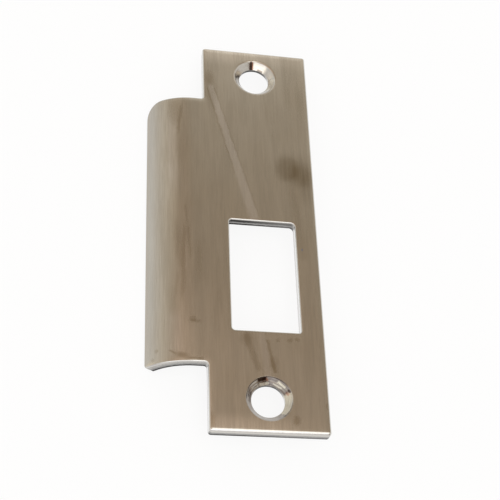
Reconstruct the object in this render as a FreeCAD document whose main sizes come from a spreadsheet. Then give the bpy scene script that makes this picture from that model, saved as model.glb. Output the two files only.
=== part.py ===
import FreeCAD, Part
import math
import os
import Sketcher

# Door strike plate: one bent sheet with two screw tabs, a latch hole and a curved lip.
# The back lies on z = 0 and the face looks along +Z. The screw holes lie along Y, either side
# of the origin, and the lip runs out along -X and curves down past the back.
# Lengths are in millimetres and angles in degrees.
sizes = {
    "plate_width": 31.75,
    "plate_length": 123.825,
    "plate_thick": 3.0,
    "tab_length": 19.05,
    "tab_corner": 0.8,
    "notch_corner": 0.8,
    "lip_flat": 3.2,
    "lip_radius": 16.0,
    "lip_turn": 53.5,
    "lip_low_corner": 1.0,
    "lip_high_corner": 5.5,
    "screw_inset": 9.525,
    "screw_hole": 9.0,
    "countersink": 12.5,
    "countersink_angle": 82.0,
    "latch_width": 18.8,
    "latch_height": 34.4,
    "latch_drop": 15.875,
    "latch_offset": 0.15,
    "latch_corner": 0.8,
    "face_edge": 0.4,
    "latch_edge": 0.25,
}

# how a sketch numbers the points of a line or an arc, and its own origin and axes
START, END, CENTRE = range(1, 4)
X_AXIS, Y_AXIS = range(-1, -3, -1)
ORIGIN = (X_AXIS, START)
UP = FreeCAD.Vector(0, 0, 1)
TINY = 1e-6

doc = FreeCAD.newDocument("strike_plate")
sheet = doc.addObject("Spreadsheet::Sheet", "sizes")
for row, (alias, value) in enumerate(sizes.items(), start=1):
    sheet.set(f"A{row}", alias)
    sheet.set(f"B{row}", str(value))
    sheet.setAlias(f"B{row}", alias)
doc.recompute()

body = doc.addObject("PartDesign::Body", "strike_plate")
body.Label = "strike_plate"
body.Placement = FreeCAD.Placement()


def origin_plane(role):
    return next(plane for plane in body.Origin.OriginFeatures if plane.Role == role)


def new_sketch(name, role):
    sketch = body.newObject("Sketcher::SketchObject", name)
    sketch.AttachmentSupport = [(origin_plane(role), "")]
    sketch.MapMode = "FlatFace"
    return sketch


def tie(sketch, *constraint):
    return sketch.addConstraint(Sketcher.Constraint(*constraint))


def drive(sketch, name, formula, *constraint):
    # a dimension of the sketch that follows the sheet
    sketch.renameConstraint(tie(sketch, *constraint), name)
    sketch.setExpression(f"Constraints.{name}", formula)


def draw_rectangle(sketch, left, low, right, high):
    # lines 0 to 3 are the low, right, high and left sides
    corners = [FreeCAD.Vector(x, y, 0) for x, y in ((left, low), (right, low), (right, high), (left, high))]
    for side in range(4):
        sketch.addGeometry(Part.LineSegment(corners[side], corners[(side + 1) % 4]), False)
    for side in range(4):
        tie(sketch, "Coincident", side, END, (side + 1) % 4, START)
        tie(sketch, "Vertical" if side % 2 else "Horizontal", side)


def cut_through(name, sketch):
    pocket = body.newObject("PartDesign::Pocket", name)
    pocket.Profile = sketch
    pocket.Type = "ThroughAll"
    pocket.SideType = "Symmetric"
    doc.recompute()
    return pocket


def round_edges(name, alias, wanted):
    # rounds every edge of the solid so far that the test picks
    base = body.Tip
    edges = [f"Edge{i}" for i, edge in enumerate(base.Shape.Edges, start=1) if wanted(edge)]
    fillet = body.newObject("PartDesign::Fillet", name)
    fillet.Base = (base, edges)
    fillet.setExpression("Radius", f"sizes.{alias}")
    doc.recompute()


def upright_at(places):
    # picks the upright edges that stand at the given places in plan
    def wanted(edge):
        first, last = edge.Vertexes[0].Point, edge.Vertexes[-1].Point
        upright = math.hypot(first.x - last.x, first.y - last.y) < TINY < abs(first.z - last.z)
        return upright and any(math.hypot(first.x - x, first.y - y) < TINY for x, y in places)
    return wanted


half_width = sheet.plate_width / 2
half_length = sheet.plate_length / 2
lip_end = half_length - sheet.tab_length
bend_x = -(half_width + sheet.lip_flat)
lip_span = sheet.lip_flat + sheet.lip_radius

# Section: a flat strip that runs on into the lip's arc, drawn across the plate
section = new_sketch("section", "XZ_Plane")
EDGE, FACE, OUTER, TIP, INNER, BACK = range(6)
bend_centre = FreeCAD.Vector(bend_x, sheet.plate_thick - sheet.lip_radius, 0)
arc_start = math.radians(90)
arc_end = math.radians(90 + sheet.lip_turn)
outer, inner = (
    Part.ArcOfCircle(Part.Circle(bend_centre, UP, radius), arc_start, arc_end)
    for radius in (sheet.lip_radius, sheet.lip_radius - sheet.plate_thick)
)
back_corner = FreeCAD.Vector(half_width, 0, 0)
face_corner = FreeCAD.Vector(half_width, sheet.plate_thick, 0)
section.addGeometry(Part.LineSegment(back_corner, face_corner), False)
section.addGeometry(Part.LineSegment(face_corner, outer.StartPoint), False)
section.addGeometry(outer, False)
section.addGeometry(Part.LineSegment(inner.EndPoint, outer.EndPoint), False)
section.addGeometry(inner, False)
section.addGeometry(Part.LineSegment(inner.StartPoint, back_corner), False)
tie(section, "Coincident", EDGE, END, FACE, START)
tie(section, "Tangent", FACE, END, OUTER, START)
tie(section, "Coincident", OUTER, END, TIP, END)
tie(section, "Coincident", INNER, END, TIP, START)
tie(section, "Tangent", INNER, START, BACK, START)
tie(section, "Coincident", BACK, END, EDGE, START)
tie(section, "Coincident", OUTER, CENTRE, INNER, CENTRE)
tie(section, "PointOnObject", OUTER, CENTRE, TIP)
tie(section, "PointOnObject", EDGE, START, X_AXIS)
tie(section, "Vertical", EDGE)
tie(section, "Horizontal", FACE)
tie(section, "Horizontal", BACK)
drive(section, "side", "sizes.plate_width / 2", "DistanceX", *ORIGIN, EDGE, START, half_width)
drive(section, "bend", "sizes.plate_width / 2 + sizes.lip_flat",
      "DistanceX", FACE, END, *ORIGIN, -bend_x)
drive(section, "thick", "sizes.plate_thick", "DistanceY", EDGE, START, EDGE, END, sheet.plate_thick)
drive(section, "radius", "sizes.lip_radius", "Radius", OUTER, sheet.lip_radius)
drive(section, "turn", "(90 + sizes.lip_turn) * 1 deg", "Angle", TIP, arc_end)

strip = body.newObject("PartDesign::Pad", "strip")
strip.Profile = section
strip.SideType = "Symmetric"
strip.setExpression("Length", "sizes.plate_length")
doc.recompute()

# Notches: the sheet beyond the lip's ends is cut away, which leaves a plain tab at each end
notch_sketch = new_sketch("notch_outline", "XY_Plane")
draw_rectangle(notch_sketch, -half_width - lip_span, lip_end, -half_width, half_length)
LOW, RIGHT, HIGH, LEFT = range(4)
drive(notch_sketch, "side", "sizes.plate_width / 2", "DistanceX", RIGHT, START, *ORIGIN, half_width)
drive(notch_sketch, "span", "sizes.lip_flat + sizes.lip_radius",
      "DistanceX", LOW, START, LOW, END, lip_span)
drive(notch_sketch, "low", "sizes.plate_length / 2 - sizes.tab_length",
      "DistanceY", *ORIGIN, LOW, START, lip_end)
drive(notch_sketch, "high", "sizes.plate_length / 2",
      "DistanceY", *ORIGIN, HIGH, START, half_length)
notch = cut_through("notch", notch_sketch)
notches = body.newObject("PartDesign::Mirrored", "notches")
notches.Originals = [notch]
notches.MirrorPlane = (origin_plane("XZ_Plane"), [""])
body.Tip = notches
doc.recompute()

# Latch hole, set below the middle of the plate and a little away from the lip
latch_sketch = new_sketch("latch_outline", "XY_Plane")
latch_right = sheet.latch_width / 2 + sheet.latch_offset
latch_left = latch_right - sheet.latch_width
latch_low = -sheet.latch_drop - sheet.latch_height / 2
latch_high = latch_low + sheet.latch_height
draw_rectangle(latch_sketch, latch_left, latch_low, latch_right, latch_high)
drive(latch_sketch, "right", "sizes.latch_width / 2 + sizes.latch_offset",
      "DistanceX", *ORIGIN, RIGHT, START, latch_right)
drive(latch_sketch, "width", "sizes.latch_width",
      "DistanceX", LOW, START, LOW, END, sheet.latch_width)
drive(latch_sketch, "low", "sizes.latch_drop + sizes.latch_height / 2",
      "DistanceY", LOW, START, *ORIGIN, -latch_low)
drive(latch_sketch, "height", "sizes.latch_height",
      "DistanceY", RIGHT, START, RIGHT, END, sheet.latch_height)
cut_through("latch_hole", latch_sketch)

# Countersunk screw holes, one in the middle of each tab's width
screw_sketch = new_sketch("screw_centres", "XY_Plane")
screw_sketch.setExpression("AttachmentOffset.Base.z", "sizes.plate_thick")
screw_y = half_length - sheet.screw_inset
for y in (-screw_y, screw_y):
    centre = FreeCAD.Vector(0, y, 0)
    screw_sketch.addGeometry(Part.Circle(centre, UP, sheet.screw_hole / 2), False)
tie(screw_sketch, "PointOnObject", 0, CENTRE, Y_AXIS)
tie(screw_sketch, "Equal", 0, 1)
tie(screw_sketch, "Symmetric", 0, CENTRE, 1, CENTRE, *ORIGIN)
drive(screw_sketch, "bore", "sizes.screw_hole", "Diameter", 0, sheet.screw_hole)
drive(screw_sketch, "high", "sizes.plate_length / 2 - sizes.screw_inset",
      "DistanceY", *ORIGIN, 1, CENTRE, screw_y)
doc.recompute()
screws = body.newObject("PartDesign::Hole", "screw_holes")
screws.Profile = screw_sketch
doc.recompute()
screws.ThreadType = "None"
screws.DepthType = "ThroughAll"
screws.HoleCutType = "Countersink"
screws.HoleCutCustomValues = True
screws.setExpression("Diameter", "sizes.screw_hole")
screws.setExpression("HoleCutDiameter", "sizes.countersink")
screws.setExpression("HoleCutCountersinkAngle", "sizes.countersink_angle * 1 deg")
doc.recompute()

# Corners of the outline and of the latch hole
tab_corners = [(x, y) for x in (-half_width, half_width) for y in (-half_length, half_length)]
notch_corners = [(-half_width, y) for y in (-lip_end, lip_end)]
latch_corners = [(x, y) for x in (latch_left, latch_right) for y in (latch_low, latch_high)]
round_edges("tab_corners", "tab_corner", upright_at(tab_corners))
round_edges("notch_corners", "notch_corner", upright_at(notch_corners))
round_edges("latch_corners", "latch_corner", upright_at(latch_corners))


def lip_corner_at(y):
    # picks the short edge across the sheet at one end of the lip's tip
    def wanted(edge):
        first, last = edge.Vertexes[0].Point, edge.Vertexes[-1].Point
        straight = isinstance(edge.Curve, Part.Line)
        at_end = abs(first.y - y) < TINY and abs(last.y - y) < TINY
        return straight and at_end and max(first.x, last.x) < bend_x - TINY
    return wanted


round_edges("lip_low_corner", "lip_low_corner", lip_corner_at(-lip_end))
round_edges("lip_high_corner", "lip_high_corner", lip_corner_at(lip_end))


def is_front(face):
    # the flat of the face, or the outer side of the lip's bend
    surface = face.Surface
    if isinstance(surface, Part.Plane):
        return abs(face.CenterOfMass.z - sheet.plate_thick) < TINY
    return isinstance(surface, Part.Cylinder) and abs(surface.Radius - sheet.lip_radius) < TINY


def front_rim(inside_latch):
    # picks the edges where the front meets the walls, round the outline or round the latch hole
    shape = body.Tip.Shape

    def wanted(edge):
        meets = [is_front(face) for face in shape.ancestorsOfType(edge, Part.Face)]
        if meets.count(True) != 1 or isinstance(edge.Curve, Part.Circle) and edge.Closed:
            return False
        middle = edge.CenterOfMass
        across = latch_left - TINY < middle.x < latch_right + TINY
        along = latch_low - TINY < middle.y < latch_high + TINY
        return (across and along) == inside_latch
    return wanted


# The face's edges are eased all round, and those of the latch hole a little less
round_edges("face_edge", "face_edge", front_rim(False))
round_edges("latch_edge", "latch_edge", front_rim(True))

for item in doc.Objects:
    if "Invalid" in item.State or "Error" in item.State:
        raise RuntimeError(f"{item.Name} failed: {item.State}")
if body.Shape.isNull() or not body.Shape.isValid() or len(body.Shape.Solids) != 1:
    raise RuntimeError("the plate isn't one valid solid")

os.makedirs("parts", exist_ok=True)
body.Shape.exportStep(f"parts/{body.Label}.step")
print(f"{body.Label}: {body.Shape.Volume:.1f} mm3, {len(body.Shape.Faces)} faces, {body.Shape.BoundBox}")
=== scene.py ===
import math

import bmesh
import bpy
from mathutils import Matrix, Vector


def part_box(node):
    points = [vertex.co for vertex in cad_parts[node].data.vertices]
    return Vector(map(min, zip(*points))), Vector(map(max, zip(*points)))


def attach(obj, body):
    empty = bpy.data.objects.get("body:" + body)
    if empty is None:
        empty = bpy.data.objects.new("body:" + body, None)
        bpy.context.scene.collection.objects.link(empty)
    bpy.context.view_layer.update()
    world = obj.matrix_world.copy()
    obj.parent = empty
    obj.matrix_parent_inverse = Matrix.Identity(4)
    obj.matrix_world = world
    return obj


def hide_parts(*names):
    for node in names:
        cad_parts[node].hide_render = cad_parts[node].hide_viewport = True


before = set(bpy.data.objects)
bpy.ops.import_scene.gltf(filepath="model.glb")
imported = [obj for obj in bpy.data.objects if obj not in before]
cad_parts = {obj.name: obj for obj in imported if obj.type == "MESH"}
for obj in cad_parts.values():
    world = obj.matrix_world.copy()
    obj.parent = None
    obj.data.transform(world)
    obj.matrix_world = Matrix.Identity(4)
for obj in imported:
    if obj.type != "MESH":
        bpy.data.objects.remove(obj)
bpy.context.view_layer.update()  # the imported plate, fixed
plateLow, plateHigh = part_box("strike_plate")
scene = bpy.context.scene
mm = 0.001
print("frame loaded", sorted(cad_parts))


# Small helpers for node trees
def addNode(tree, kind, **settings):
    node = tree.nodes.new(kind)
    for name, value in settings.items():
        setattr(node, name, value)
    return node


def feed(tree, socket, value):
    if isinstance(value, bpy.types.NodeSocket):
        tree.links.new(value, socket)
    else:
        socket.default_value = value


def calc(tree, operation, first, second=None, clamp=False):
    node = addNode(tree, "ShaderNodeMath", operation=operation, use_clamp=clamp)
    feed(tree, node.inputs[0], first)
    if second is not None:
        feed(tree, node.inputs[1], second)
    return node.outputs[0]


def vectorCalc(tree, operation, first, second=None):
    node = addNode(tree, "ShaderNodeVectorMath", operation=operation)
    feed(tree, node.inputs[0], first)
    if second is not None:
        feed(tree, node.inputs["Scale"] if operation == "SCALE" else node.inputs[1], second)
    return node.outputs["Value"] if operation in ("DOT_PRODUCT", "LENGTH") else node.outputs["Vector"]


def fade(tree, value, start, end, low=0.0, high=1.0, curve="SMOOTHSTEP"):
    node = addNode(tree, "ShaderNodeMapRange", interpolation_type=curve)
    for name, number in (("Value", value), ("From Min", start), ("From Max", end),
                         ("To Min", low), ("To Max", high)):
        feed(tree, node.inputs[name], number)
    return node.outputs["Result"]


def band(tree, value, start, end, soft):
    rise = fade(tree, value, start - soft, start + soft)
    return calc(tree, "MULTIPLY", rise, fade(tree, value, end - soft, end + soft, 1.0, 0.0))


def blend(tree, share, first, second, way="MIX"):
    node = addNode(tree, "ShaderNodeMix", data_type="RGBA", blend_type=way)
    feed(tree, node.inputs["Factor"], share)
    feed(tree, node.inputs["A"], first)
    feed(tree, node.inputs["B"], second)
    return node.outputs["Result"]


def grain(tree, place, stretch, detail=2.0, roughness=0.5):
    spread = addNode(tree, "ShaderNodeMapping")
    feed(tree, spread.inputs["Vector"], place)
    spread.inputs["Scale"].default_value = stretch
    noise = addNode(tree, "ShaderNodeTexNoise")
    feed(tree, noise.inputs["Vector"], spread.outputs["Vector"])
    noise.inputs["Scale"].default_value = 1.0
    noise.inputs["Detail"].default_value = detail
    noise.inputs["Roughness"].default_value = roughness
    return noise.outputs["Fac"]


def addUp(tree, masks):
    total = masks[0]
    for mask in masks[1:]:
        total = calc(tree, "ADD", total, mask, clamp=True)
    return total


def bumpFrom(tree, shader, height, depth, strength=1.0):
    bump = addNode(tree, "ShaderNodeBump")
    feed(tree, bump.inputs["Strength"], strength)
    bump.inputs["Distance"].default_value = depth
    feed(tree, bump.inputs["Height"], height)
    tree.links.new(bump.outputs["Normal"], shader.inputs["Normal"])


def attribute(tree, name):
    return addNode(tree, "ShaderNodeAttribute", attribute_name=name).outputs["Fac"]


def newMaterial(name):
    material = bpy.data.materials.new(name)
    material.use_nodes = True
    shader = material.node_tree.nodes["Principled BSDF"]
    shader.inputs["Metallic"].default_value = 1.0
    return material, material.node_tree, shader


# Flat sheet: sizes before the lip is rolled, in metres, seen from the face
sheet = {
    "tabLength": 19.05 * mm,  # plain end beyond each notch
    "tabCorner": 0.8 * mm,
    "notchCorner": 0.8 * mm,
    "lipFlat": 3.2 * mm,  # flat run before the lip rolls
    "rollRadius": 16.0 * mm,  # outer face of the roll
    "rollTurn": 53.5,  # degrees
    "lipLowCorner": 1.0 * mm,
    "lipHighCorner": 5.5 * mm,
    "sideEase": 0.4 * mm,  # buffed edge along the sides and the lip
    "lowEndEase": 0.95 * mm,  # the lower end is buffed rounder
    "crownReach": 2.2 * mm,  # buffing lets the face fall away a little towards its edges
    "crownDrop": 0.04 * mm,
    "lowEndDrop": 0.02 * mm,
    "latchWidth": 18.8 * mm,
    "latchHeight": 34.4 * mm,
    "latchMiddle": (0.15 * mm, -15.875 * mm),
    "latchCorners": (1.2 * mm, 0.7 * mm, 0.9 * mm, 0.8 * mm),  # from the upper right, clockwise
    "latchEase": 0.32 * mm,
    "latchCrownReach": 0.9 * mm,
    "latchCrownDrop": 0.01 * mm,
    "screwReach": 52.3875 * mm,  # screw holes, up and down from the middle
    "boreRadius": 4.5 * mm,
    "sinkRadius": 6.25 * mm,
    "sinkAngle": 82.0,  # degrees across the cone
    "upperSinkEase": 0.9 * mm,  # the upper countersink is buffed over
    "lowerSinkEase": 0.14 * mm,
    "toolRing": 0.8 * mm,  # spacing and depth of the cutter's rings
    "upperToolDepth": 0.0015 * mm,
    "lowerToolDepth": 0.014 * mm,
    "backEase": 0.1 * mm,
    "burnish": 0.40,  # share of the wall that the punch left smooth
    "tear": 0.035 * mm,  # how far the torn part stands back
    "tearRun": 3,  # depth over which it does so, in steps of its own size
    "cornerSteps": 8,
    "crownSteps": 6,
    "easeSteps": 6,
    "sinkEaseSteps": 6,
    "sinkSteps": 44,
    "holeSteps": 112,
    "rollSteps": 48,
    "mapSize": 130.0 * mm,  # length of one unit of the sheet's UV map
    "wallSootAndLight": 0.5,  # dirt on the other walls, as a share of that in the latch hole; the same share decides their painted highlight
    "samePlace": 1e-7,
}
thick = plateHigh.z
halfWidth, halfLength = plateHigh.x, plateHigh.y
rollStart = -halfWidth - sheet["lipFlat"]
lipEnd = rollStart - sheet["rollRadius"] * math.radians(sheet["rollTurn"])
zones = ["face", "wall", "sink", "back"]
upright, backSlope = math.pi / 2, math.pi * 0.75


def cornerLoop(corners, edgeAt):
    # corners run with the metal on their left
    loop = []
    for i, (x, y, radius) in enumerate(corners):
        corner = Vector((x, y))
        along = (corner - Vector(corners[i - 1][:2])).normalized()
        onward = (Vector(corners[(i + 1) % len(corners)][:2]) - corner).normalized()
        bulge = 1 if along.cross(onward) > 0 else -1
        for step in range(sheet["cornerSteps"] + 1):
            turn = math.pi / 2 * step / sheet["cornerSteps"]
            ray = along * math.sin(turn) - onward * math.cos(turn)
            loop.append({"corner": corner, "inward": onward - along, "radius": radius, "bulge": bulge,
                         "ray": ray, "edges": edgeAt(corner)})
    return loop


def circleLoop(middle, radius, ease):
    loop = []
    for step in range(sheet["holeSteps"]):
        turn = -2 * math.pi * step / sheet["holeSteps"]
        ray = Vector((math.cos(turn), math.sin(turn)))
        loop.append({"corner": middle, "inward": Vector((0, 0)), "radius": radius, "bulge": -1,
                     "ray": ray, "ease": ease})
    return loop


def insetPlace(point, insets):
    # moves a point of the outline into the metal along X and Y
    # past a round corner's centre it runs on inward
    radius = point["radius"]
    spot = point["corner"].copy()
    for axis, inset in enumerate(insets):
        arm = max(radius - inset, 0.0) if point["bulge"] > 0 else radius + inset
        centre = max(radius, inset) if point["bulge"] > 0 else radius
        spot[axis] += point["inward"][axis] * centre + point["ray"][axis] * arm
    return spot


# Profiles run down a wall in rows of (inset, depth, slope above, slope below, zone below); 0 slopes face up
def edgeRows(ease, reach, drop):
    rows = []
    slope = 3 * drop / (reach - ease)
    for step in range(sheet["crownSteps"]):
        share = step / sheet["crownSteps"]
        tilt = math.atan(slope * share ** 2)
        rows.append((reach - (reach - ease) * share, drop * share ** 3, tilt, tilt, "face"))
    start = math.atan(slope)
    arm = ease / (1 - math.sin(start))
    for step in range(sheet["easeSteps"] + 1):
        tilt = start + (upright - start) * step / sheet["easeSteps"]
        depth = drop + arm * (math.cos(start) - math.cos(tilt))
        rows.append((arm * (1 - math.sin(tilt)), depth, tilt, tilt, "face"))
    tornFrom = rows[-1][1] + (thick - rows[-1][1]) * sheet["burnish"]
    lean = upright + math.atan2(1, sheet["tearRun"])
    rows[-1] = (*rows[-1][:4], "wall")
    rows.append((0.0, tornFrom, upright, lean, "wall"))
    rows.append((sheet["tear"], tornFrom + sheet["tearRun"] * sheet["tear"], lean, upright, "wall"))
    rows.append((sheet["tear"], thick - sheet["backEase"], upright, backSlope, "wall"))
    rows.append((sheet["tear"] + sheet["backEase"], thick, backSlope, math.pi, "back"))
    return rows


def wallProfile(point):
    rows = []
    for side, end in zip(*(edgeRows(*edge) for edge in point["edges"])):
        middle = Vector(side[1:4]).lerp(Vector(end[1:4]), point["ray"].y ** 2)
        rows.append(((side[0], end[0]), *middle, side[4]))
    return rows


def sinkProfile(point, toolDepth):
    half = math.radians(sheet["sinkAngle"] / 2)
    coneTilt = upright - half
    ease = point["ease"]
    turn = math.atan2(point["ray"].y, point["ray"].x)
    chatter = toolDepth * (0.6 + 0.4 * math.sin(3 * turn + 1.2))
    phase = 1.2 * math.sin(2 * turn + 0.5) + 0.8 * math.sin(5 * turn)
    run = ease * math.tan(coneTilt / 2)
    rows = []
    for step in range(sheet["sinkEaseSteps"] + 1):
        tilt = coneTilt * step / sheet["sinkEaseSteps"]
        zone = "face" if step * 2 < sheet["sinkEaseSteps"] else "sink"
        rows.append((run - ease * math.sin(tilt), ease * (1 - math.cos(tilt)), tilt, tilt, zone))
    deep = (sheet["sinkRadius"] - sheet["boreRadius"]) / math.tan(half)
    start = rows[-1][1]
    for step in range(1, sheet["sinkSteps"] + 1):
        depth = start + (deep - start) * step / sheet["sinkSteps"]
        wave = 2 * math.pi * depth / math.cos(half) / sheet["toolRing"] + phase
        swell = chatter * math.sin(wave)
        tilt = coneTilt + math.atan(chatter * 2 * math.pi / sheet["toolRing"] * math.cos(wave))
        inset = -depth * math.tan(half) - swell * math.cos(half)
        rows.append((inset, depth + swell * math.sin(half), tilt, tilt, "sink"))
    bore = sheet["boreRadius"] - sheet["sinkRadius"]
    rows[-1] = (bore, deep, coneTilt, upright, "wall")
    rows.append((bore, thick - sheet["backEase"], upright, backSlope, "wall"))
    rows.append((bore + sheet["backEase"], thick, backSlope, math.pi, "back"))
    return [((row[0], row[0]), *row[1:]) for row in rows]


def buildSheet():
    mesh = bmesh.new()
    mapLayer = mesh.loops.layers.uv.new("sheetMap")
    normalLayer = mesh.loops.layers.float_vector.new("flatNormal")
    wearAndSheenLayer = mesh.verts.layers.float.new("edgeWearAndSheen")
    depthLayer = mesh.verts.layers.float.new("wallDepth")
    sootAndLightLayer = mesh.verts.layers.float.new("wallSootAndLight")
    mapSize = sheet["mapSize"]
    topRings, backRings = [], []

    def addRing(loop, rows, index, soot):
        ring = []
        for point, row in zip(loop, rows):
            insets, depth, _, tilt, _ = row[index]
            spot = insetPlace(point, insets).to_3d()
            spot.z = thick - depth
            if ring and (ring[-1].co - spot).length < sheet["samePlace"]:
                ring.append(ring[-1])
                continue
            vert = mesh.verts.new(spot)
            vert[wearAndSheenLayer] = max(0.0, math.sin(min(tilt, upright))) * ("edges" in point)
            vert[depthLayer] = depth / thick
            # the share also follows the way the wall faces: lowest facing -X, where the wall material
            # paints a highlight
            vert[sootAndLightLayer] = soot * max(0.1, abs(point["ray"].y), 0.7 * point["bulge"] * point["ray"].x)
            ring.append(vert)
        return ring

    def addStrip(loop, rows, rings, k, along):
        for i in range(len(loop)):
            j = (i + 1) % len(loop)
            corners = {}
            for vert, point, row, slope, run in (
                (rings[k][i], loop[i], rows[i][k], 3, along[i]),
                (rings[k + 1][i], loop[i], rows[i][k + 1], 2, along[i]),
                (rings[k + 1][j], loop[j], rows[j][k + 1], 2, along[i + 1]),
                (rings[k][j], loop[j], rows[j][k], 3, along[i + 1]),
            ):
                corners.setdefault(vert, (point["ray"] * point["bulge"], row[slope], run))
            if len(corners) < 3:
                continue
            face = mesh.faces.new(list(corners))
            face.smooth = True
            zone = rows[i][k][4]
            face.material_index = zones.index(zone)
            for corner in face.loops:
                out, tilt, run = corners[corner.vert]
                flat = corner.vert.co
                corner[normalLayer] = (out.x * math.sin(tilt), out.y * math.sin(tilt), math.cos(tilt))
                across = (flat.x, flat.y) if zone == "face" else (run, thick - flat.z)
                corner[mapLayer].uv = (across[0] / mapSize, across[1] / mapSize)

    def skirt(loop, profile, soot=sheet["wallSootAndLight"]):
        # rings of points down the wall, joined into strips
        rows = [profile(point) for point in loop]
        rings = [addRing(loop, rows, index, soot) for index in range(len(rows[0]))]
        along = [0.0]
        for i in range(len(loop)):
            ahead = insetPlace(loop[(i + 1) % len(loop)], (0.0, 0.0))
            along.append(along[-1] + (ahead - insetPlace(loop[i], (0.0, 0.0))).length)
        for k in range(len(rings) - 1):
            addStrip(loop, rows, rings, k, along)
        topRings.append(rings[0])
        backRings.append(rings[-1])

    # the edges that face along X and along Y at a corner
    def outerEdges(corner):
        usual = (sheet["sideEase"], sheet["crownReach"], sheet["crownDrop"])
        lowEnd = (sheet["lowEndEase"], sheet["crownReach"], sheet["lowEndDrop"])
        return usual, lowEnd if abs(corner.y + halfLength) < mm else usual

    def latchEdges(corner):
        edge = (sheet["latchEase"], sheet["latchCrownReach"], sheet["latchCrownDrop"])
        return edge, edge

    notch = halfLength - sheet["tabLength"]
    skirt(cornerLoop([
        (halfWidth, halfLength, sheet["tabCorner"]),
        (-halfWidth, halfLength, sheet["tabCorner"]),
        (-halfWidth, notch, sheet["notchCorner"]),
        (lipEnd, notch, sheet["lipHighCorner"]),
        (lipEnd, -notch, sheet["lipLowCorner"]),
        (-halfWidth, -notch, sheet["notchCorner"]),
        (-halfWidth, -halfLength, sheet["tabCorner"]),
        (halfWidth, -halfLength, sheet["tabCorner"]),
    ], outerEdges), wallProfile)

    middleX, middleY = sheet["latchMiddle"]
    right, top = middleX + sheet["latchWidth"] / 2, middleY + sheet["latchHeight"] / 2
    left, bottom = right - sheet["latchWidth"], top - sheet["latchHeight"]
    places = ((right, top), (right, bottom), (left, bottom), (left, top))
    latch = [(x, y, radius) for (x, y), radius in zip(places, sheet["latchCorners"])]
    skirt(cornerLoop(latch, latchEdges), wallProfile, soot=1.0)

    for side, ease, toolDepth in ((1, sheet["upperSinkEase"], sheet["upperToolDepth"]),
                                  (-1, sheet["lowerSinkEase"], sheet["lowerToolDepth"])):
        hole = circleLoop(Vector((0.0, side * sheet["screwReach"])), sheet["sinkRadius"], ease)
        skirt(hole, lambda point, cut=toolDepth: sinkProfile(point, cut))

    for rings, up, zone in ((topRings, 1.0, "face"), (backRings, -1.0, "back")):
        rims = set()
        for ring in rings:
            for i in range(len(ring)):
                if ring[i - 1] != ring[i]:
                    rims.add(mesh.edges.get((ring[i - 1], ring[i])))
        filled = bmesh.ops.triangle_fill(mesh, use_beauty=True, edges=list(rims))["geom"]
        for face in [part for part in filled if isinstance(part, bmesh.types.BMFace)]:
            face.normal_update()
            if face.normal.z * up < 0:
                face.normal_flip()
            face.smooth = True
            face.material_index = zones.index(zone)
            for corner in face.loops:
                corner[normalLayer] = (0.0, 0.0, up)
                corner[mapLayer].uv = (corner.vert.co.x / mapSize, corner.vert.co.y / mapSize)

    for step in range(sheet["rollSteps"]):  # rows of points across the part that rolls
        across = rollStart + (lipEnd - rollStart) * step / sheet["rollSteps"]
        everything = mesh.verts[:] + mesh.edges[:] + mesh.faces[:]
        bmesh.ops.bisect_plane(mesh, geom=everything, dist=sheet["samePlace"],
                               plane_co=(across, 0, 0), plane_no=(1, 0, 0))
    data = bpy.data.meshes.new("plateSheet")
    mesh.to_mesh(data)
    mesh.free()
    return bpy.data.objects.new("plateSheet", data)


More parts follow.
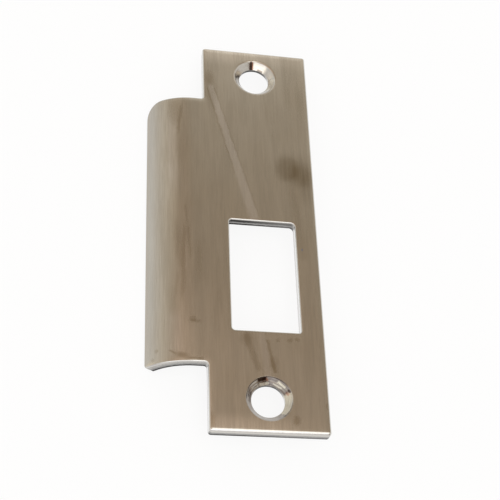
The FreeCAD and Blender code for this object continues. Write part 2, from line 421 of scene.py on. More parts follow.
# Lip roll: a Geometry Nodes tree that wraps the sheet's left part round an axis along Y
def rollTree(materials):
    tree = bpy.data.node_groups.new("rollLip", "GeometryNodeTree")
    face = tree.interface
    face.new_socket("Geometry", in_out="INPUT", socket_type="NodeSocketGeometry")
    for name in ("Roll Start", "Roll Radius", "Face Height"):
        face.new_socket(name, in_out="INPUT", socket_type="NodeSocketFloat")
    face.new_socket("Geometry", in_out="OUTPUT", socket_type="NodeSocketGeometry")
    given = addNode(tree, "NodeGroupInput")
    result = addNode(tree, "NodeGroupOutput")
    place = addNode(tree, "ShaderNodeSeparateXYZ")
    tree.links.new(addNode(tree, "GeometryNodeInputPosition").outputs[0], place.inputs[0])
    past = calc(tree, "SUBTRACT", given.outputs["Roll Start"], place.outputs["X"])
    past = calc(tree, "MAXIMUM", past, 0.0)
    turn = calc(tree, "DIVIDE", past, given.outputs["Roll Radius"])
    depth = calc(tree, "SUBTRACT", given.outputs["Face Height"], place.outputs["Z"])
    arm = calc(tree, "SUBTRACT", given.outputs["Roll Radius"], depth)
    sideways = calc(tree, "MULTIPLY", arm, calc(tree, "SINE", turn))
    drop = calc(tree, "MULTIPLY", arm, calc(tree, "SUBTRACT", 1.0, calc(tree, "COSINE", turn)))
    flatX = calc(tree, "ADD", place.outputs["X"], past)
    spot = addNode(tree, "ShaderNodeCombineXYZ")
    tree.links.new(calc(tree, "SUBTRACT", flatX, sideways), spot.inputs["X"])
    tree.links.new(place.outputs["Y"], spot.inputs["Y"])
    tree.links.new(calc(tree, "SUBTRACT", place.outputs["Z"], drop), spot.inputs["Z"])
    # the sheet's own normals turn with it
    flatNormal = addNode(tree, "GeometryNodeInputNamedAttribute", data_type="FLOAT_VECTOR")
    flatNormal.inputs["Name"].default_value = "flatNormal"
    rotate = addNode(tree, "ShaderNodeVectorRotate", rotation_type="Y_AXIS")
    tree.links.new(flatNormal.outputs["Attribute"], rotate.inputs["Vector"])
    tree.links.new(calc(tree, "MULTIPLY", turn, -1.0), rotate.inputs["Angle"])
    keep = addNode(tree, "GeometryNodeStoreNamedAttribute", data_type="FLOAT_VECTOR", domain="CORNER")
    keep.inputs["Name"].default_value = "rolledNormal"
    tree.links.new(given.outputs["Geometry"], keep.inputs["Geometry"])
    tree.links.new(rotate.outputs["Vector"], keep.inputs["Value"])
    move = addNode(tree, "GeometryNodeSetPosition")
    tree.links.new(keep.outputs["Geometry"], move.inputs["Geometry"])
    tree.links.new(spot.outputs["Vector"], move.inputs["Position"])
    last = addNode(tree, "GeometryNodeRealizeInstances")
    tree.links.new(move.outputs["Geometry"], last.inputs["Geometry"])
    index = addNode(tree, "GeometryNodeInputMaterialIndex").outputs[0]
    for number, material in enumerate(materials):
        pick = addNode(tree, "FunctionNodeCompare", data_type="INT", operation="EQUAL")
        tree.links.new(index, pick.inputs["A"])
        pick.inputs["B"].default_value = number
        paint = addNode(tree, "GeometryNodeSetMaterial")
        paint.inputs["Material"].default_value = material
        tree.links.new(last.outputs["Geometry"], paint.inputs["Geometry"])
        tree.links.new(pick.outputs["Result"], paint.inputs["Selection"])
        last = paint
    tree.links.new(last.outputs["Geometry"], result.inputs["Geometry"])
    return tree


def setInput(modifier, name, value):
    for item in modifier.node_group.interface.items_tree:
        if item.in_out == "INPUT" and item.name == name:
            modifier[item.identifier] = value


def rolledPlate(materials):
    flat = buildSheet()
    print("flat sheet laid out", len(flat.data.vertices), "points")
    for material in materials:
        flat.data.materials.append(material)
    scene.collection.objects.link(flat)
    roll = flat.modifiers.new("rollLip", "NODES")
    roll.node_group = rollTree(materials)
    setInput(roll, "Roll Start", rollStart)
    setInput(roll, "Roll Radius", sheet["rollRadius"])
    setInput(roll, "Face Height", thick)
    data = bpy.data.meshes.new_from_object(flat.evaluated_get(bpy.context.evaluated_depsgraph_get()))
    bpy.data.objects.remove(flat)
    data.name = "plate"
    normals = [Vector(item.vector).normalized() for item in data.attributes["rolledNormal"].data]
    for name in ("rolledNormal", "flatNormal"):
        data.attributes.remove(data.attributes[name])
    data.normals_split_custom_set(normals)
    plate = bpy.data.objects.new("plate", data)
    scene.collection.objects.link(plate)
    return plate


# Brushed face
brushed = {
    "tone": (0.433, 0.385, 0.318, 1.0),
    "paleGrain": (1.085, 1.085, 1.085, 1.0),
    "darkGrain": (0.91, 0.90, 0.885, 1.0),
    "cloudTint": (0.90, 0.86, 0.80, 1.0),
    # edges lighten with their tilt: partly buffed wear, partly a painted highlight
    "edgeWearAndSheenTone": (0.65, 0.635, 0.605, 1.0),
    "edgeWearAndSheenShare": 0.8,
    "lipEndSheenTone": (0.50, 0.475, 0.43, 1.0),  # painted sheen, lighter towards the lip's end
    "lipEndSheenReach": (1.0, 5.0),  # millimetres from that end
    "lipEndSheenShare": 0.55,
    # painted sheen towards both ends of the face
    "endSheenTint": (1.32, 1.32, 1.35, 1.0),
    "highEndSheen": (55.0, 61.2, 0.5),  # where it starts, where it is full, its share on the right
    "lowEndSheen": (-56.0, -60.2, 0.2),
    "endSheenAcross": (0.0, 11.0),  # where it falls to that share
    "fineGrain": (6.0, 0.14, 1.0),  # grains per millimetre, across and along the brushing
    "mediumGrain": (1.5, 0.06, 1.0),
    "broadGrain": (0.3, 0.03, 1.0),
    "grainMix": (0.44, 0.18, 0.38),  # shares of the three
    "cloudGrain": (0.10, 0.07, 1.0),
    "wanderScale": 0.45,
    "wanderReach": (1.0, 1.4, 0.0),  # millimetres that the marks' edges stray
    "roughness": 0.25,
    "grainRoughness": 0.03,
    "stainRoughness": 0.06,
    "wornSmoothness": 0.11,
    "anisotropy": 0.6,
    "grainDepth": 0.003 * mm,
    "grainStrength": 0.5,
}

# Marks on the face, in millimetres on the flat sheet, two of them painted sheen: streaks run between two
# points, blots are ellipses
paleMarkAndSheen = (1.24, 1.27, 1.38, 1.0)
brownMark = (0.60, 0.54, 0.45, 1.0)
smudgeMark = (0.51, 0.45, 0.36, 1.0)
paleStreaksAndLipSheen = [
    {"start": (-13.6, 47.6), "end": (-2.2, 2.6), "width": 0.8, "soft": 0.4, "depth": 0.7, "taper": 1.7},
    {"start": (-1.3, -34.0), "end": (-0.2, -46.0), "width": 0.9, "soft": 0.5, "depth": 0.45},
    {"start": (-21.5, -6.0), "end": (-21.4, -16.5), "width": 0.2, "soft": 0.2, "depth": 0.4, "ends": 0.25},
    # painted sheen: the next two lift the lip's light band up to its sharp border
    {"start": (-25.2, 41.0), "end": (-24.9, 8.0), "width": 1.3, "soft": 0.45, "depth": 0.42, "ends": 0.25},
    {"start": (-25.0, -26.0), "end": (-24.6, -44.0), "width": 1.9, "soft": 1.2, "depth": 0.4, "ends": 0.3},
]
brownStreaks = [
    {"start": (-14.8, 47.0), "end": (-7.2, 17.0), "width": 0.2, "soft": 0.2, "depth": 0.45},
    {"start": (-12.5, 47.0), "end": (-0.6, 2.8), "width": 0.18, "soft": 0.18, "depth": 0.4},
    {"start": (-5.6, -34.4), "end": (-2.7, -44.0), "width": 0.8, "soft": 0.5, "depth": 0.5},
    {"start": (0.1, -36.0), "end": (1.9, -44.8), "width": 0.42, "soft": 0.3, "depth": 0.7},
    {"start": (9.6, 14.0), "end": (11.4, -9.0), "width": 1.5, "soft": 1.3, "depth": 0.3},
    {"start": (-22.3, 41.0), "end": (-23.6, 28.5), "width": 0.4, "soft": 0.35, "depth": 0.5, "ends": 0.2},
    {"start": (-26.3, -39.3), "end": (-24.0, -41.0), "width": 0.3, "soft": 0.25, "depth": 0.6, "ends": 0.3},
    {"start": (-25.0, -40.6), "end": (-20.2, -41.8), "width": 0.7, "soft": 0.5, "depth": 0.7, "ends": 0.4},
    {"start": (-21.4, -41.7), "end": (-16.5, -42.0), "width": 0.25, "soft": 0.2, "depth": 0.7, "ends": 0.2},
    {"start": (-21.6, 1.0), "end": (-22.6, -27.0), "width": 0.6, "soft": 0.6, "depth": 0.5, "ends": 0.2},
    {"start": (-21.8, 6.0), "end": (-20.8, -1.5), "width": 0.25, "soft": 0.25, "depth": 0.4, "ends": 0.25},
    {"start": (-20.8, 0.0), "end": (-20.1, -14.0), "width": 0.3, "soft": 0.3, "depth": 0.45, "ends": 0.25},
    {"start": (-24.4, 4.0), "end": (-22.8, -18.0), "width": 0.8, "soft": 0.8, "depth": 0.34, "ends": 0.4},
    {"start": (-23.6, -15.0), "end": (-24.2, -25.0), "width": 0.4, "soft": 0.4, "depth": 0.35, "ends": 0.3},
    {"start": (-17.5, -3.0), "end": (-18.2, -23.0), "width": 0.9, "soft": 0.9, "depth": 0.28, "ends": 0.4},
]
brownBlots = [
    {"at": (-14.3, 50.6), "size": (1.6, 2.4), "soft": 0.6, "depth": 0.5},
    {"at": (-13.8, 44.8), "size": (2.2, 4.2), "soft": 0.7, "depth": 0.3},
    {"at": (-5.4, -35.6), "size": (1.9, 1.7), "soft": 0.6, "depth": 0.35},
    {"at": (1.6, -42.4), "size": (1.0, 1.9), "soft": 0.6, "depth": 0.4},
    {"at": (12.8, 50.0), "size": (6.0, 10.0), "soft": 0.8, "depth": 0.3},
    {"at": (10.8, 35.0), "size": (8.0, 9.0), "soft": 0.9, "depth": 0.2},
    {"at": (-24.6, 37.4), "size": (1.7, 4.6), "soft": 0.6, "depth": 0.38},
    {"at": (-29.7, -39.1), "size": (0.5, 0.6), "soft": 0.5, "depth": 0.45},
    {"at": (-30.8, -41.3), "size": (0.6, 0.5), "soft": 0.5, "depth": 0.45},
    {"at": (3.0, -35.7), "size": (0.5, 0.45), "soft": 0.5, "depth": 0.55},
    {"at": (6.2, -35.5), "size": (0.7, 0.6), "soft": 0.5, "depth": 0.55},
    {"at": (8.2, -35.2), "size": (0.7, 0.6), "soft": 0.5, "depth": 0.55},
    {"at": (6.9, -58.3), "size": (1.0, 1.3), "soft": 0.45, "depth": 0.7},
    {"at": (-15.3, -58.8), "size": (1.1, 2.0), "soft": 0.6, "depth": 0.6},
    {"at": (15.4, -54.0), "size": (0.5, 1.1), "soft": 0.5, "depth": 0.5},
    {"at": (-13.0, -15.0), "size": (3.6, 14.0), "soft": 0.8, "depth": 0.12},
    {"at": (-19.6, -30.5), "size": (0.8, 0.7), "soft": 0.5, "depth": 0.5},
    {"at": (-19.1, -31.2), "size": (1.6, 0.4), "soft": 0.5, "depth": 0.5},
]
smudge = [
    {"at": (8.5, 19.6), "size": (3.3, 4.2), "soft": 0.4, "depth": 0.36},
    {"at": (12.6, 17.8), "size": (3.4, 3.9), "soft": 0.6, "depth": 0.36},
    {"at": (10.8, 20.0), "size": (5.4, 5.2), "soft": 0.5, "depth": 0.26},
    {"at": (13.6, 13.2), "size": (2.0, 4.4), "soft": 0.8, "depth": 0.28},
]
paintSpeck = {"at": (11.2, -7.2), "size": (0.16, 0.3), "soft": 0.3, "depth": 0.8}
speckTone = (0.07, 0.17, 0.42, 1.0)


def sheetPlace(tree):
    coords = addNode(tree, "ShaderNodeUVMap", uv_map="sheetMap")
    return vectorCalc(tree, "SCALE", coords.outputs["UV"], sheet["mapSize"] / mm)  # in millimetres


def streakMask(tree, place, mark):
    start = Vector((*mark["start"], 0.0))
    span = Vector((*mark["end"], 0.0)) - start
    fromStart = vectorCalc(tree, "SUBTRACT", place, start)
    share = vectorCalc(tree, "DOT_PRODUCT", fromStart, span / span.length_squared)
    share = calc(tree, "ADD", share, 0.0, clamp=True)
    away = vectorCalc(tree, "SUBTRACT", fromStart, vectorCalc(tree, "SCALE", span, share))
    away = vectorCalc(tree, "LENGTH", away)
    if "taper" in mark:  # widens towards its end
        away = calc(tree, "DIVIDE", away, fade(tree, share, 0.0, 1.0, 1.0, mark["taper"], "LINEAR"))
    inner, outer = mark["width"] - mark["soft"], mark["width"] + mark["soft"]
    mask = fade(tree, away, inner, outer, mark["depth"], 0.0)
    if "ends" in mark:  # share of its length that each end takes to fade
        mask = calc(tree, "MULTIPLY", mask, fade(tree, share, 0.0, mark["ends"]))
        mask = calc(tree, "MULTIPLY", mask, fade(tree, share, 1.0 - mark["ends"], 1.0, 1.0, 0.0))
    return mask


def blotMask(tree, place, mark):
    away = vectorCalc(tree, "SUBTRACT", place, Vector((*mark["at"], 0.0)))
    away = vectorCalc(tree, "DIVIDE", away, Vector((*mark["size"], 1.0)))
    away = vectorCalc(tree, "LENGTH", away)
    return fade(tree, away, 1 - mark["soft"], 1 + mark["soft"], mark["depth"], 0.0)


def brushedFace():
    material, tree, shader = newMaterial("brushedFace")
    place = sheetPlace(tree)
    fine = grain(tree, place, brushed["fineGrain"], detail=3.0, roughness=0.65)
    medium = grain(tree, place, brushed["mediumGrain"], detail=3.0)
    broad = grain(tree, place, brushed["broadGrain"], detail=2.0)
    cloud = grain(tree, place, brushed["cloudGrain"], detail=3.0)
    layers = [calc(tree, "MULTIPLY", layer, share)
              for layer, share in zip((fine, medium, broad), brushed["grainMix"])]
    streaks = calc(tree, "ADD", layers[0], calc(tree, "ADD", layers[1], layers[2]))
    shades = blend(tree, fade(tree, streaks, 0.40, 0.60), brushed["darkGrain"], brushed["paleGrain"])
    colour = blend(tree, 1.0, brushed["tone"], shades, "MULTIPLY")
    clouded = fade(tree, cloud, 0.35, 0.7, 0.0, 0.25)
    colour = blend(tree, clouded, colour, brushed["cloudTint"], "MULTIPLY")
    # a slow wander bends the marks' edges
    wander = addNode(tree, "ShaderNodeTexNoise")
    feed(tree, wander.inputs["Vector"], place)
    wander.inputs["Scale"].default_value = brushed["wanderScale"]
    wander.inputs["Detail"].default_value = 3.0
    shift = vectorCalc(tree, "SUBTRACT", wander.outputs["Color"], (0.5, 0.5, 0.5))
    shift = vectorCalc(tree, "MULTIPLY", shift, brushed["wanderReach"])
    marked = vectorCalc(tree, "ADD", vectorCalc(tree, "MULTIPLY", place, (1.0, 1.0, 0.0)), shift)
    pale = addUp(tree, [streakMask(tree, marked, mark) for mark in paleStreaksAndLipSheen])
    brown = addUp(tree, [streakMask(tree, marked, mark) for mark in brownStreaks]
                  + [blotMask(tree, marked, mark) for mark in brownBlots])
    patchy = fade(tree, fine, 0.25, 0.75, 0.7, 1.15, "LINEAR")
    brown = calc(tree, "MULTIPLY", brown, patchy, clamp=True)
    # pale streaks, with the painted sheen along the lip's light band
    colour = blend(tree, pale, colour, paleMarkAndSheen, "MULTIPLY")
    colour = blend(tree, brown, colour, brownMark, "MULTIPLY")
    dull = calc(tree, "MULTIPLY", addUp(tree, [blotMask(tree, marked, mark) for mark in smudge]),
                fade(tree, medium, 0.3, 0.7, 1.12, 0.88, "LINEAR"), clamp=True)
    colour = blend(tree, dull, colour, smudgeMark, "MULTIPLY")
    colour = blend(tree, blotMask(tree, place, paintSpeck), colour, speckTone)
    axes = addNode(tree, "ShaderNodeSeparateXYZ")
    tree.links.new(place, axes.inputs[0])
    across, upward = axes.outputs["X"], axes.outputs["Y"]
    # painted sheen: the face lightens towards the lip's end
    lipEndSheenFull, lipEndSheenNone = (lipEnd / mm + reach for reach in brushed["lipEndSheenReach"])
    lipEndSheen = fade(tree, across, lipEndSheenFull, lipEndSheenNone, brushed["lipEndSheenShare"], 0.0)
    colour = blend(tree, lipEndSheen, colour, brushed["lipEndSheenTone"])
    # painted sheen: the face lightens towards both ends, more on the left
    for start, full, rightShare in (brushed["highEndSheen"], brushed["lowEndSheen"]):
        endSheen = calc(tree, "MULTIPLY", fade(tree, upward, start, full),
                    fade(tree, across, *brushed["endSheenAcross"], 1.0, rightShare))
        colour = blend(tree, endSheen, colour, brushed["endSheenTint"], "MULTIPLY")
    # edges lighten with their tilt: partly buffed wear, partly a painted highlight
    wearAndSheen = attribute(tree, "edgeWearAndSheen")
    wornAndSheen = fade(tree, wearAndSheen, 0.04, 0.4, 0.0, brushed["edgeWearAndSheenShare"])
    colour = blend(tree, wornAndSheen, colour, brushed["edgeWearAndSheenTone"])
    feed(tree, shader.inputs["Base Color"], colour)
    dullest = brushed["roughness"] + brushed["grainRoughness"]
    brightest = brushed["roughness"] - brushed["grainRoughness"]
    rough = fade(tree, streaks, 0.3, 0.7, dullest, brightest, "LINEAR")
    rough = calc(tree, "ADD", rough, calc(tree, "MULTIPLY", brown, brushed["stainRoughness"]))
    rough = calc(tree, "SUBTRACT", rough, fade(tree, wearAndSheen, 0.03, 0.5, 0.0, brushed["wornSmoothness"]))
    feed(tree, shader.inputs["Roughness"], rough)
    shader.inputs["Anisotropic"].default_value = brushed["anisotropy"]
    along = addNode(tree, "ShaderNodeTangent", direction_type="UV_MAP", uv_map="sheetMap")
    tree.links.new(along.outputs["Tangent"], shader.inputs["Tangent"])
    bumpFrom(tree, shader, streaks, brushed["grainDepth"], brushed["grainStrength"])
    return material


# Sheared walls: a smooth burnished band under the face, then a torn one
sheared = {
    "burnished": (0.46, 0.445, 0.42, 1.0),
    "torn": (0.37, 0.362, 0.355, 1.0),
    # painted highlight: walls facing -X are painted near-white, as if strongly lit
    "paintedLitWall": (0.90, 0.895, 0.885, 1.0),
    "lineTint": (0.62, 0.61, 0.6, 1.0),
    "soot": (0.016, 0.014, 0.012, 1.0),
    "sootAcross": (-9 * mm, 8 * mm),  # from the hole's left wall to its right
    "sootRight": 0.65,
    "highSoot": (0.07, 0.50),  # shares of the thickness, from the face down
    "lowDarkBand": (0.66, 0.80),
    "raggedGrain": (0.9, 0.5, 1.0),  # grains per millimetre
    "ragged": 0.07,  # how far the bands stray, in shares of the thickness
    "lineGrain": (5.0, 0.5, 1.0),
    "lineDepth": 0.02 * mm,
    "lineStrength": 0.6,
    "burnishedRoughness": 0.25,
    "tornRoughness": 0.5,
}


def shearedWall():
    material, tree, shader = newMaterial("shearedWall")
    place = sheetPlace(tree)
    deep = attribute(tree, "wallDepth")
    soot = attribute(tree, "wallSootAndLight")
    ragged = grain(tree, place, sheared["raggedGrain"], detail=3.0)
    lines = grain(tree, place, sheared["lineGrain"], detail=2.0)
    stray = fade(tree, ragged, 0.2, 0.8, -sheared["ragged"], sheared["ragged"], "LINEAR")
    level = calc(tree, "ADD", deep, stray)
    torn = fade(tree, level, sheet["burnish"] - 0.02, sheet["burnish"] + 0.12)
    colour = blend(tree, torn, sheared["burnished"], sheared["torn"])
    # painted highlight: where the soot share is low, on walls facing -X, the wall is painted near-white
    colour = blend(tree, fade(tree, soot, 0.1, 0.4, 0.95, 0.0), colour, sheared["paintedLitWall"])
    lined = calc(tree, "MULTIPLY", fade(tree, lines, 0.35, 0.7, 0.0, 0.35),
                 fade(tree, soot, 0.1, 0.4, 0.3, 1.0))
    colour = blend(tree, lined, colour, sheared["lineTint"], "MULTIPLY")
    # soot in a band under the face, and a dark band towards the back, most of it on the left
    spot = addNode(tree, "ShaderNodeSeparateXYZ")
    tree.links.new(addNode(tree, "ShaderNodeTexCoord").outputs["Object"], spot.inputs[0])
    leftward = fade(tree, spot.outputs["X"], *sheared["sootAcross"], 1.0, sheared["sootRight"])
    high = calc(tree, "MULTIPLY", fade(tree, soot, 0.5, 1.0), band(tree, level, *sheared["highSoot"], 0.04))
    low = calc(tree, "MULTIPLY", fade(tree, level, *sheared["lowDarkBand"]),
               fade(tree, soot, 0.1, 0.6, 0.15, 1.0))
    darkBands = calc(tree, "MULTIPLY", addUp(tree, [high, low]), leftward)
    colour = blend(tree, darkBands, colour, sheared["soot"])
    feed(tree, shader.inputs["Base Color"], colour)
    rough = fade(tree, torn, 0.0, 1.0, sheared["burnishedRoughness"], sheared["tornRoughness"], "LINEAR")
    feed(tree, shader.inputs["Roughness"], rough)
    tornLines = calc(tree, "MULTIPLY", lines, torn)
    bumpFrom(tree, shader, tornLines, sheared["lineDepth"], sheared["lineStrength"])
    return material


# Countersinks: bright from the cutter, ringed where it chattered; painted highlights, reflections and
# shade, in millimetres from the hole's axis
turned = {
    "tone": (0.50, 0.465, 0.42, 1.0),
    "lowerTint": (0.78, 0.76, 0.75, 1.0),
    "darkRing": (0.72, 0.69, 0.67, 1.0),
    "roundReach": 2.2,  # size of the circle that the noise is read on
    "holesApart": 20.0,  # keeps the two holes' noise unlike
    "ringGrain": (0.7, 0.7, 4.5),
    "patchGrain": (1.6, 1.6, 1.1),
    "ringMix": (0.6, 0.4),  # shares of the two
    "upperRoughness": 0.2,
    "lowerRoughness": 0.15,
    "ringRoughness": (-0.04, 0.05),
    "ringDepth": 0.012 * mm,
    "ringStrength": (0.1, 0.8),  # in the upper and the lower hole
    # painted highlight, reflection and shade tints for the marks below
    "pale": (1.55, 1.50, 1.38, 1.0),
    "matte": (0.80, 0.76, 0.62, 1.0),  # duller torn metal whose cream colour is also a painted reflection
    "matteShare": 0.8,
    "matteRoughness": 0.3,
    "tornSide": (0.978, -0.208, 0.0),  # of the lower hole
    "tornReach": (1.70, 1.92),
    "tornBand": (5.7, 6.15),  # it thins out towards the rim
    "dark": (0.16, 0.105, 0.08, 1.0),
    "rust": (0.75, 0.36, 0.22, 1.0),
    "dirtSide": (-0.13, 0.99, 0.0),  # under the lower hole's far rim
    "dirtReach": (0.6, 1.4),
    "dirtBand": (5.95, 6.15),
    "dirtShare": 0.8,
}
sinkMarksAndReflections = {
    "upperPale": [
        {"start": (0.5, 5.15), "end": (3.2, 4.1), "width": 0.75, "soft": 0.4, "depth": 0.8},
        {"start": (4.6, 2.65), "end": (5.3, 0.0), "width": 0.7, "soft": 0.5, "depth": 0.2},
    ],
    "upperMatte": [
        {"start": (5.3, -0.2), "end": (4.3, -3.1), "width": 0.8, "soft": 0.5, "depth": 0.6},
    ],
    "upperDark": [
        {"start": (-0.70, 4.4), "end": (-0.88, 5.95), "width": 0.42, "soft": 0.12, "depth": 0.85},
        {"start": (1.45, 4.4), "end": (2.6, 3.85), "width": 0.22, "soft": 0.15, "depth": 0.7},
        {"start": (-4.4, -1.9), "end": (-4.7, 1.0), "width": 0.45, "soft": 0.35, "depth": 0.5},
        {"start": (-5.5, -2.2), "end": (-5.9, 0.8), "width": 0.4, "soft": 0.35, "depth": 0.35},
    ],
    "upperRust": [
        {"start": (-0.25, 4.4), "end": (-0.40, 5.9), "width": 0.2, "soft": 0.12, "depth": 0.9},
    ],
    "lowerPale": [
        {"start": (0.6, 5.3), "end": (2.9, 4.6), "width": 0.12, "soft": 0.08, "depth": 0.7},
    ],
    "lowerMatte": [
        {"start": (-2.0, 4.45), "end": (0.0, 4.9), "width": 0.28, "soft": 0.15, "depth": 0.5},
        {"start": (1.5, 4.75), "end": (3.5, 3.6), "width": 0.14, "soft": 0.1, "depth": 0.6},
        {"start": (2.7, 5.0), "end": (4.3, 3.6), "width": 0.2, "soft": 0.12, "depth": 0.7},
        {"start": (2.6, 4.6), "end": (4.4, 3.2), "width": 0.5, "soft": 0.4, "depth": 0.25},
    ],
    "lowerDark": [
        {"start": (-2.6, 5.2), "end": (-0.9, 5.75), "width": 0.28, "soft": 0.12, "depth": 0.95},
        {"start": (5.2, 2.65), "end": (5.5, 2.2), "width": 0.24, "soft": 0.12, "depth": 0.85},
        {"start": (-4.9, -0.3), "end": (-4.7, 1.9), "width": 0.42, "soft": 0.3, "depth": 0.6},
    ],
    "lowerRust": [
        {"start": (-0.5, 5.7), "end": (-0.2, 5.5), "width": 0.25, "soft": 0.15, "depth": 0.8},
        {"start": (4.8, 2.2), "end": (5.2, 1.7), "width": 0.3, "soft": 0.2, "depth": 0.6},
    ],
}


def turnedSink():
    material, tree, shader = newMaterial("turnedSink")
    spot = addNode(tree, "ShaderNodeSeparateXYZ")
    coords = addNode(tree, "ShaderNodeTexCoord")
    tree.links.new(vectorCalc(tree, "SCALE", coords.outputs["Object"], 1 / mm), spot.inputs[0])
    side = calc(tree, "SIGN", spot.outputs["Y"])
    rise = calc(tree, "SUBTRACT", spot.outputs["Y"], calc(tree, "MULTIPLY", side, sheet["screwReach"] / mm))
    flat = addNode(tree, "ShaderNodeCombineXYZ")
    feed(tree, flat.inputs["X"], spot.outputs["X"])
    feed(tree, flat.inputs["Y"], rise)
    around = flat.outputs["Vector"]
    radius = vectorCalc(tree, "LENGTH", around)
    way = vectorCalc(tree, "SCALE", vectorCalc(tree, "NORMALIZE", around), turned["roundReach"])
    lift = addNode(tree, "ShaderNodeCombineXYZ")
    apart = calc(tree, "MULTIPLY", side, turned["holesApart"])
    feed(tree, lift.inputs["Z"], calc(tree, "ADD", radius, apart))
    ring = vectorCalc(tree, "ADD", way, lift.outputs["Vector"])  # seamless round the cone
    rings = grain(tree, ring, turned["ringGrain"], detail=3.0, roughness=0.6)
    patches = grain(tree, ring, turned["patchGrain"], detail=2.0)
    upper = fade(tree, side, -1.0, 1.0, 0.0, 1.0, "LINEAR")
    lower = calc(tree, "SUBTRACT", 1.0, upper)  # the lower hole has the heavier marks
    mixed = calc(tree, "ADD", calc(tree, "MULTIPLY", rings, turned["ringMix"][0]),
                 calc(tree, "MULTIPLY", patches, turned["ringMix"][1]))
    shade = calc(tree, "MULTIPLY", fade(tree, mixed, 0.42, 0.58), fade(tree, lower, 0.0, 1.0, 0.2, 1.0))
    ringTone = blend(tree, 1.0, turned["tone"], turned["darkRing"], "MULTIPLY")
    colour = blend(tree, shade, turned["tone"], ringTone)
    colour = blend(tree, lower, colour, turned["lowerTint"], "MULTIPLY")
    # painted highlights, reflections and shade; the matte ones are also duller, torn metal
    for kind in ("pale", "matte", "dark", "rust"):
        masks = []
        for which, share in (("upper", upper), ("lower", lower)):
            marks = [streakMask(tree, around, mark) for mark in sinkMarksAndReflections[which + kind.title()]]
            masks.append(calc(tree, "MULTIPLY", addUp(tree, marks), share))
        spread = addUp(tree, masks)
        if kind == "matte":
            facing = vectorCalc(tree, "DOT_PRODUCT", way, turned["tornSide"])
            crescent = calc(tree, "MULTIPLY", fade(tree, facing, *turned["tornReach"]),
                            fade(tree, radius, *turned["tornBand"], 0.75, 0.2))
            spread = addUp(tree, [spread, calc(tree, "MULTIPLY", crescent, lower)])
            torn = calc(tree, "MULTIPLY", spread, fade(tree, rings, 0.3, 0.65, 0.75, 1.05), clamp=True)
            colour = blend(tree, torn, colour, turned["matte"])
        else:
            colour = blend(tree, spread, colour, turned[kind], "MULTIPLY")
    far = fade(tree, vectorCalc(tree, "DOT_PRODUCT", way, turned["dirtSide"]), *turned["dirtReach"])
    dirt = calc(tree, "MULTIPLY", calc(tree, "MULTIPLY", far, lower),
                fade(tree, radius, *turned["dirtBand"], 0.0, turned["dirtShare"]))
    colour = blend(tree, dirt, colour, turned["dark"], "MULTIPLY")
    feed(tree, shader.inputs["Base Color"], colour)
    metal = fade(tree, torn, 0.0, 1.0, 1.0, 1.0 - turned["matteShare"], "LINEAR")
    feed(tree, shader.inputs["Metallic"], metal)
    rough = fade(tree, lower, 0.0, 1.0, turned["upperRoughness"], turned["lowerRoughness"], "LINEAR")
    rough = calc(tree, "ADD", rough, calc(tree, "MULTIPLY", torn, turned["matteRoughness"]))
    rough = calc(tree, "ADD", rough, fade(tree, rings, 0.3, 0.7, *turned["ringRoughness"]))
    feed(tree, shader.inputs["Roughness"], rough)
    strength = fade(tree, lower, 0.0, 1.0, *turned["ringStrength"], "LINEAR")
    bumpFrom(tree, shader, mixed, turned["ringDepth"], strength)
    return material


# Back: the mill's own dull face
back = {
    "tone": (0.40, 0.36, 0.305, 1.0),
    "rolled": (0.46, 0.42, 0.365, 1.0),
    "stain": (0.78, 0.73, 0.66, 1.0),
    "rollGrain": (2.5, 0.08, 1.0),  # grains per millimetre
    "cloudGrain": (0.13, 0.11, 3.0),
    "roughness": (0.37, 0.50),
    "rollDepth": 0.004 * mm,
    "rollStrength": 0.5,
}


def plainBack():
    material, tree, shader = newMaterial("plainBack")
    place = sheetPlace(tree)
    roll = grain(tree, place, back["rollGrain"], detail=3.0)
    cloud = grain(tree, place, back["cloudGrain"], detail=4.0, roughness=0.6)
    colour = blend(tree, fade(tree, roll, 0.3, 0.7, 0.0, 0.5), back["tone"], back["rolled"])
    colour = blend(tree, fade(tree, cloud, 0.48, 0.72, 0.0, 0.8), colour, back["stain"], "MULTIPLY")
    feed(tree, shader.inputs["Base Color"], colour)
    feed(tree, shader.inputs["Roughness"], fade(tree, cloud, 0.3, 0.7, *back["roughness"], "LINEAR"))
    bumpFrom(tree, shader, roll, back["rollDepth"], back["rollStrength"])
    return material


coats = [brushedFace(), shearedWall(), turnedSink(), plainBack()]  # in the order of the zones
print("materials mixed", len(coats))
plate = rolledPlate(coats)
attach(plate, "root")
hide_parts("strike_plate")
print("plate rolled", len(plate.data.polygons), "faces")


# Floor
studio = {
    "floorDrop": 0.05 * mm,  # below the lip's lowest edge
    "floorReach": 20.0,
    "floorSides": 64,
    "floorColour": (0.9, 0.9, 0.9, 1.0),
    "floorWhite": 0.88,  # share of the floor seen as plain white
}


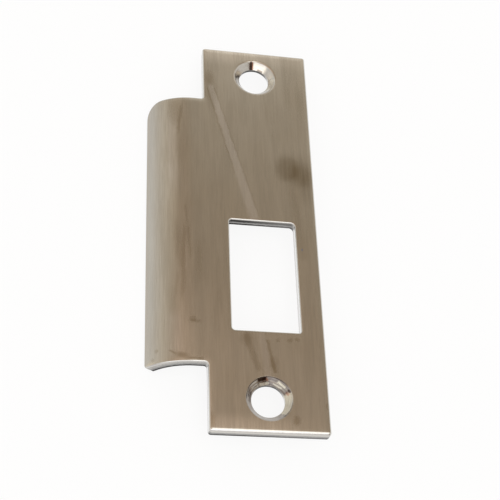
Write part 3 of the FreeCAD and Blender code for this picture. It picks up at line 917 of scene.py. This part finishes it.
def layFloor():
    shape = bmesh.new()
    bmesh.ops.create_circle(shape, cap_ends=True, segments=studio["floorSides"],
                            radius=studio["floorReach"])
    bmesh.ops.translate(shape, verts=shape.verts, vec=(0, 0, plateLow.z - studio["floorDrop"]))
    data = bpy.data.meshes.new("floor")
    shape.to_mesh(data)
    shape.free()
    material = bpy.data.materials.new("paleFloor")
    material.use_nodes = True
    tree = material.node_tree
    tree.nodes.clear()
    rays = addNode(tree, "ShaderNodeLightPath").outputs
    seen = calc(tree, "MAXIMUM", rays["Is Camera Ray"], rays["Is Glossy Ray"])
    seen = calc(tree, "MAXIMUM", seen, rays["Is Transmission Ray"])
    matte = addNode(tree, "ShaderNodeBsdfDiffuse")
    matte.inputs["Color"].default_value = studio["floorColour"]
    white = addNode(tree, "ShaderNodeEmission")
    mix = addNode(tree, "ShaderNodeMixShader")
    feed(tree, mix.inputs[0], calc(tree, "MULTIPLY", seen, studio["floorWhite"]))
    tree.links.new(matte.outputs[0], mix.inputs[1])
    tree.links.new(white.outputs[0], mix.inputs[2])
    # clear from below, for a look at the back
    through = addNode(tree, "ShaderNodeMixShader")
    tree.links.new(addNode(tree, "ShaderNodeNewGeometry").outputs["Backfacing"], through.inputs[0])
    tree.links.new(mix.outputs[0], through.inputs[1])
    tree.links.new(addNode(tree, "ShaderNodeBsdfTransparent").outputs[0], through.inputs[2])
    out = addNode(tree, "ShaderNodeOutputMaterial")
    tree.links.new(through.outputs[0], out.inputs["Surface"])
    data.materials.append(material)
    floor = bpy.data.objects.new("floor", data)
    scene.collection.objects.link(floor)


# Room light: a ramp from the horizon up, then cards at an azimuth from -Y (towards +X) and an elevation
sky = [
    (0.00, (0.98, 0.98, 0.98)),
    (0.60, (1.00, 1.00, 0.98)),
    (0.70, (1.25, 1.25, 1.22)),
    (0.735, (0.98, 0.96, 0.90)),
    (0.75, (0.62, 0.575, 0.50)),
    (0.765, (0.49, 0.445, 0.37)),
    (0.785, (0.445, 0.395, 0.32)),
    (0.82, (0.44, 0.385, 0.305)),
    (0.87, (0.465, 0.38, 0.30)),
    (0.90, (0.51, 0.425, 0.34)),
    (0.93, (0.60, 0.515, 0.43)),
    (0.96, (0.72, 0.65, 0.57)),
    (1.00, (0.90, 0.85, 0.78)),
]
lipSky = [  # on the lip's side of the room
    (0.00, (1.02, 1.06, 1.10)),
    (0.26, (0.96, 0.98, 0.99)),
    (0.41, (0.93, 0.93, 0.91)),
    (0.53, (0.89, 0.86, 0.79)),
    (0.64, (0.815, 0.765, 0.685)),
    (0.71, (0.755, 0.69, 0.59)),
    (0.76, (0.50, 0.43, 0.35)),
    (0.85, (0.47, 0.38, 0.30)),
    (0.93, (0.62, 0.53, 0.44)),
    (1.00, (1.20, 1.13, 1.03)),
]
lipSide = {"around": (-174, -100), "soft": 8}
overhead = {  # a box of light, by direction
    "along": (-0.80, 0.16),
    "across": (0.04, 0.42),
    "height": (0.60, 0.68),
    "soft": 0.04,
    "colour": (1.9, 1.9, 1.9),
}
lowGlow = {  # seen in the low end of the lip's root
    "along": (0.436, 0.478),
    "across": (0.03, 0.19),
    "height": (0.76, 0.95),
    "soft": 0.02,
    "colour": (0.92, 0.76, 0.64),
}
cards = {
    "keyLow": {"around": (-58, 15), "up": (23, 52), "soft": 3, "colour": (1.8, 1.85, 1.95)},
    "greyRoom": {"around": (-85, 12), "up": (3, 20), "soft": 3, "colour": (0.66, 0.63, 0.66)},
    "darkDoor": {"around": (18, 38), "up": (18, 40), "soft": 2, "colour": (0.20, 0.10, 0.06)},
    "darkShelf": {"around": (19, 54), "up": (1, 18), "soft": 2, "colour": (0.16, 0.10, 0.075)},
    "warmLamp": {"around": (-112, -88), "up": (3, 13), "soft": 2, "colour": (1.6, 1.45, 1.15)},
}


def skyRamp(tree, height, steps):
    ramp = addNode(tree, "ShaderNodeValToRGB")
    tree.links.new(height, ramp.inputs["Fac"])
    stops = ramp.color_ramp.elements
    while len(stops) < len(steps):
        stops.new(0.5)
    for stop, (level, _) in zip(stops, steps):  # all the places first, as a move can reorder the stops
        stop.position = level
    for stop, (_, colour) in zip(stops, steps):
        stop.color = (*colour, 1.0)
    return ramp.outputs["Color"]


def setSky():
    world = bpy.data.worlds.new("studio")
    world.use_nodes = True
    tree = world.node_tree
    axes = addNode(tree, "ShaderNodeSeparateXYZ")
    tree.links.new(addNode(tree, "ShaderNodeTexCoord").outputs["Generated"], axes.inputs[0])
    across, along, height = (axes.outputs[name] for name in "XYZ")
    around = calc(tree, "DEGREES", calc(tree, "ARCTAN2", across, calc(tree, "MULTIPLY", along, -1.0)))
    up = calc(tree, "DEGREES", calc(tree, "ARCSINE", height))
    side = band(tree, around, *lipSide["around"], lipSide["soft"])
    light = blend(tree, side, skyRamp(tree, height, sky), skyRamp(tree, height, lipSky))
    glow = calc(tree, "MULTIPLY", fade(tree, along, *lowGlow["along"], 1.0, 0.0),
                fade(tree, across, *lowGlow["across"], 1.0, 0.0))
    glow = calc(tree, "MULTIPLY", glow, band(tree, height, *lowGlow["height"], lowGlow["soft"]))
    light = blend(tree, glow, light, (*lowGlow["colour"], 1.0))
    box = calc(tree, "MULTIPLY", band(tree, along, *overhead["along"], overhead["soft"]),
               band(tree, across, *overhead["across"], overhead["soft"]))
    box = calc(tree, "MULTIPLY", box, fade(tree, height, *overhead["height"]))
    light = blend(tree, box, light, (*overhead["colour"], 1.0))
    for card in cards.values():
        mask = calc(tree, "MULTIPLY", band(tree, around, *card["around"], card["soft"]),
                    band(tree, up, *card["up"], card["soft"]))
        light = blend(tree, mask, light, (*card["colour"], 1.0))
    tree.links.new(light, tree.nodes["Background"].inputs["Color"])
    scene.world = world


# Camera at the photograph's angle
shot = {
    "eye": (-62.309 * mm, -171.974 * mm, 275.905 * mm),
    "forward": (0.18134, 0.50563, -0.84348),
    "up": (-0.06706, 0.86206, 0.50235),
    "lens": 84.49,
    "sensor": 36.0,
    "clipStart": 0.01,
}


def aimCamera():
    lens = bpy.data.cameras.new("camera")
    lens.lens = shot["lens"]
    lens.sensor_width = shot["sensor"]
    lens.clip_start = shot["clipStart"]
    camera = bpy.data.objects.new("camera", lens)
    behind = -Vector(shot["forward"]).normalized()
    right = Vector(shot["up"]).cross(behind).normalized()
    above = behind.cross(right)
    turn = Matrix((right, above, behind)).transposed().to_4x4()
    camera.matrix_world = Matrix.Translation(shot["eye"]) @ turn
    scene.collection.objects.link(camera)
    scene.camera = camera


layFloor()
setSky()
aimCamera()
scene.view_settings.view_transform = "Standard"
print("studio set")
